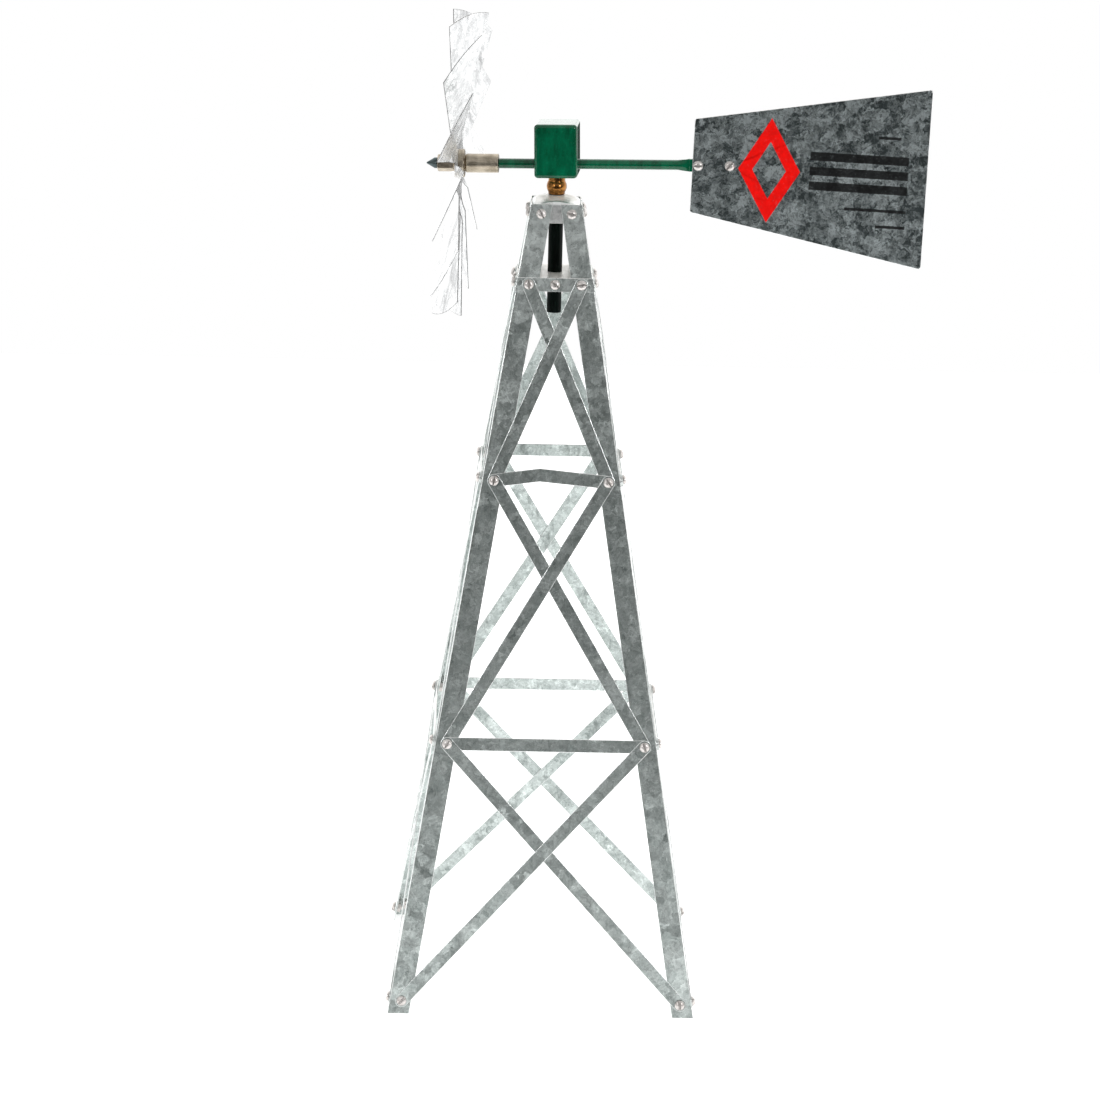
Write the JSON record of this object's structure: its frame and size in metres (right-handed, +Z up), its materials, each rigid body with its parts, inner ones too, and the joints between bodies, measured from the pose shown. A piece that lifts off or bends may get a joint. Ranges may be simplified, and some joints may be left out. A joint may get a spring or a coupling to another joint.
{
  "type": "garden windmill",
  "caption": "Sheet-metal garden windmill: tapering braced angle tower, swivelling block head, many-bladed wheel on an axle, boom with a trapezoid tail vane.",
  "frame": {"origin": "on the tower's axis at ground level, midway between the four leg ends", "axes": "+Z up along the tower's axis; -Y the tower's front; +X to the right, where the tail vane is stored"},
  "size_m": [0.3097, 0.1876, 0.5854],
  "materials": {
    "galvanised_frame": "spangled zinc",
    "galvanised_vane": "spangled zinc, painted marks",
    "galvanised_wheel": "bright spangled zinc",
    "zinc_fasteners": "bright zinc plate",
    "dark_enamel": "satin",
    "green_enamel": "gloss enamel",
    "brass": "aged, turned",
    "plain_steel": "turned",
    "dark_steel": "dark",
    "nickel": "dulled nickel plate"
  },
  "bodies": {
    "tower": {"leg_front_left": "galvanised_frame", "leg_front_right": "galvanised_frame", "leg_back_right": "galvanised_frame", "leg_back_left": "galvanised_frame", "girt_mid_front": "galvanised_frame", "girt_mid_right": "galvanised_frame", "girt_mid_back": "galvanised_frame", "girt_mid_left": "galvanised_frame", "girt_low_front": "galvanised_frame", "girt_low_right": "galvanised_frame", "girt_low_back": "galvanised_frame", "girt_low_left": "galvanised_frame", "brace_top_front_left": "galvanised_frame", "brace_top_front_right": "galvanised_frame", "brace_top_right_left": "galvanised_frame", "brace_top_right_right": "galvanised_frame", "brace_top_back_left": "galvanised_frame", "brace_top_back_right": "galvanised_frame", "brace_top_left_left": "galvanised_frame", "brace_top_left_right": "galvanised_frame", "brace_mid_front_left": "galvanised_frame", "brace_mid_front_right": "galvanised_frame", "brace_mid_right_left": "galvanised_frame", "brace_mid_right_right": "galvanised_frame", "brace_mid_back_left": "galvanised_frame", "brace_mid_back_right": "galvanised_frame", "brace_mid_left_left": "galvanised_frame", "brace_mid_left_right": "galvanised_frame", "brace_low_front_left": "galvanised_frame", "brace_low_front_right": "galvanised_frame", "brace_low_right_left": "galvanised_frame", "brace_low_right_right": "galvanised_frame", "brace_low_back_left": "galvanised_frame", "brace_low_back_right": "galvanised_frame", "brace_low_left_left": "galvanised_frame", "brace_low_left_right": "galvanised_frame", "tower_cap": "galvanised_frame", "platform": "galvanised_frame", "swivel_tube": "dark_enamel", "screws_foot": "zinc_fasteners", "screws_low": "zinc_fasteners", "screws_mid": "zinc_fasteners", "screws_platform": "zinc_fasteners", "screws_cap": "zinc_fasteners", "tower_nuts": "zinc_fasteners"},
    "head": {"swivel_ball": "brass", "swivel_spindle": "plain_steel", "head_block": "green_enamel", "axle": "green_enamel", "axle_nose": "dark_steel", "tail_boom": "green_enamel", "tail_vane": "galvanised_vane", "vane_screws": "zinc_fasteners", "vane_nuts": "zinc_fasteners"},
    "rotor": {"wheel": "galvanised_wheel", "hub_sleeve": "nickel", "hub_spacer": "nickel", "hub_nut": "nickel"}
  },
  "joints": [
    {"name": "head_yaw", "type": "hinge", "parent": "tower", "child": "head", "pos_m": [0, 0, 0.47], "axis": [0, 0, 1], "continuous": true},
    {"name": "rotor_spin", "type": "hinge", "parent": "head", "child": "rotor", "pos_m": [0, 0, 0.4974], "axis": [0.9954, -0.0923, 0.0262], "continuous": true}
  ]
}
